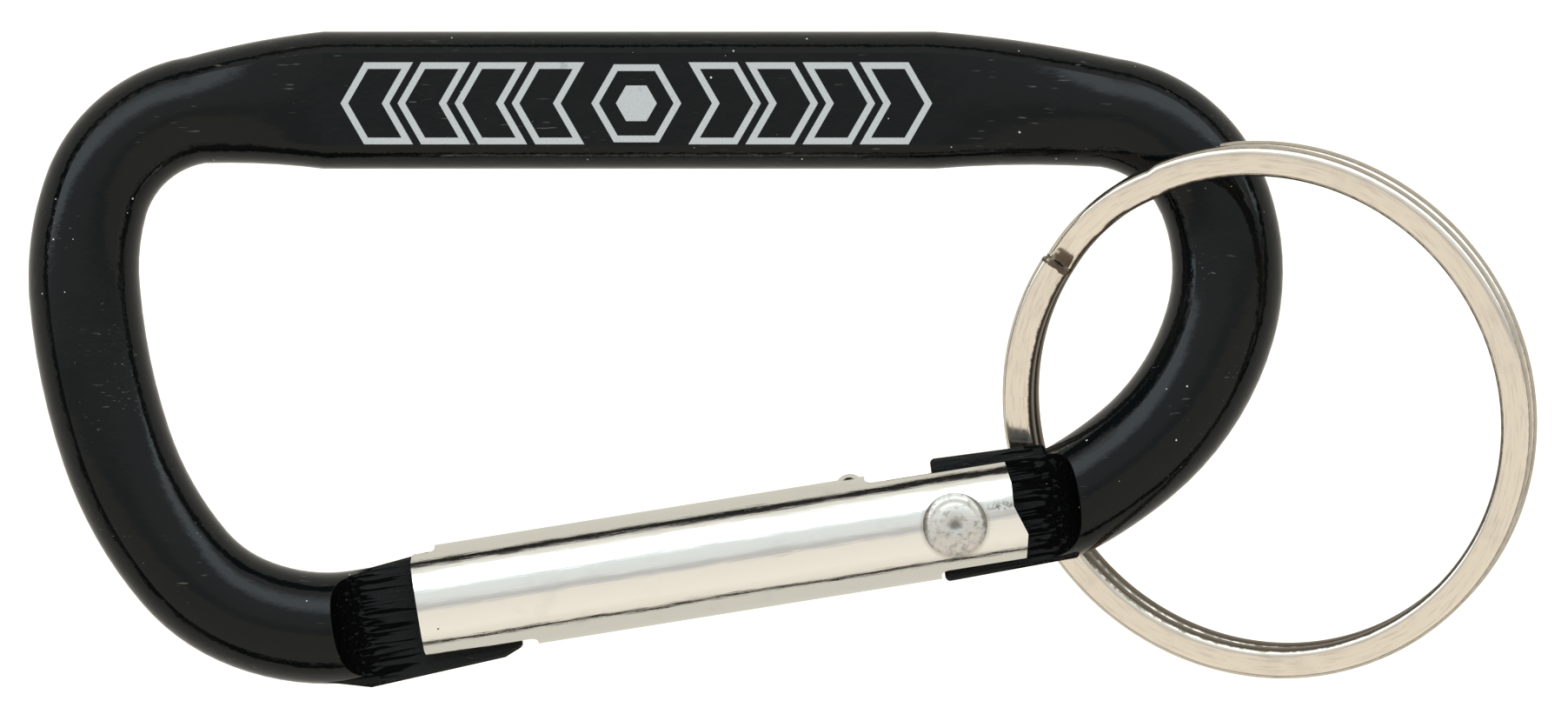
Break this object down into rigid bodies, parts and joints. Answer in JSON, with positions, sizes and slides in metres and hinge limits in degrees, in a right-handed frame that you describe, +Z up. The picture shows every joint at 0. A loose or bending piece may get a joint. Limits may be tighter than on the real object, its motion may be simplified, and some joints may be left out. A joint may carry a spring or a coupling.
{
  "type": "carabiner keyring",
  "caption": "Bent-rod carabiner key clip with a sprung tube gate on a rivet and a split key ring through its bow.",
  "frame": {"origin": "centre of the bounding box in plan, on the plane the part lies on", "axes": "+X along the straight spine towards the bow that carries the split ring, +Y from the gate towards the spine, +Z up out of the face seen when the part lies flat"},
  "size_m": [0.0956, 0.0416, 0.015],
  "materials": {
    "black_lacquer": "gloss black lacquer over a bent aluminium rod, satin where the ends are milled flat",
    "bright_aluminium": "bright polished drawn tube",
    "rivet_aluminium": "dull as-headed rivet with a soft seat ring",
    "spring_steel": "plain spring steel, hidden inside the gate",
    "nickel_plate": "warm bright nickel plate on flat-wound steel wire"
  },
  "bodies": {
    "frame": {"frame": "black_lacquer"},
    "gate": {"gate_sleeve": "bright_aluminium", "hinge_rivet": "rivet_aluminium", "return_spring": "spring_steel"},
    "plunger": {"spring_plunger": "spring_steel"},
    "ring": {"split_ring": "nickel_plate"}
  },
  "joints": [
    {"name": "gate_pivot", "type": "hinge", "parent": "frame", "child": "gate", "pos_m": [0.01109, -0.0105, 0.00489], "axis": [0, 0, 1], "range_deg": [-38, 0], "stiffness_Nm_per_rad": 0.05, "springref_deg": 28.65},
    {"name": "plunger_slide", "type": "slide", "parent": "gate", "child": "plunger", "axis": [-0.9874, -0.1582, 0], "range_m": [0, 0.00095], "deforming": ["return_spring"]},
    {"name": "ring_swing", "type": "hinge", "parent": "frame", "child": "ring", "pos_m": [0.0241, -0.00464, 0.00489], "axis": [0.6074, -0.7944, 0], "range_deg": [0, 110]}
  ],
  "couplings": [
    {"joint": "plunger_slide", "follows": "gate_pivot", "m_per_rad": -0.00135}
  ]
}
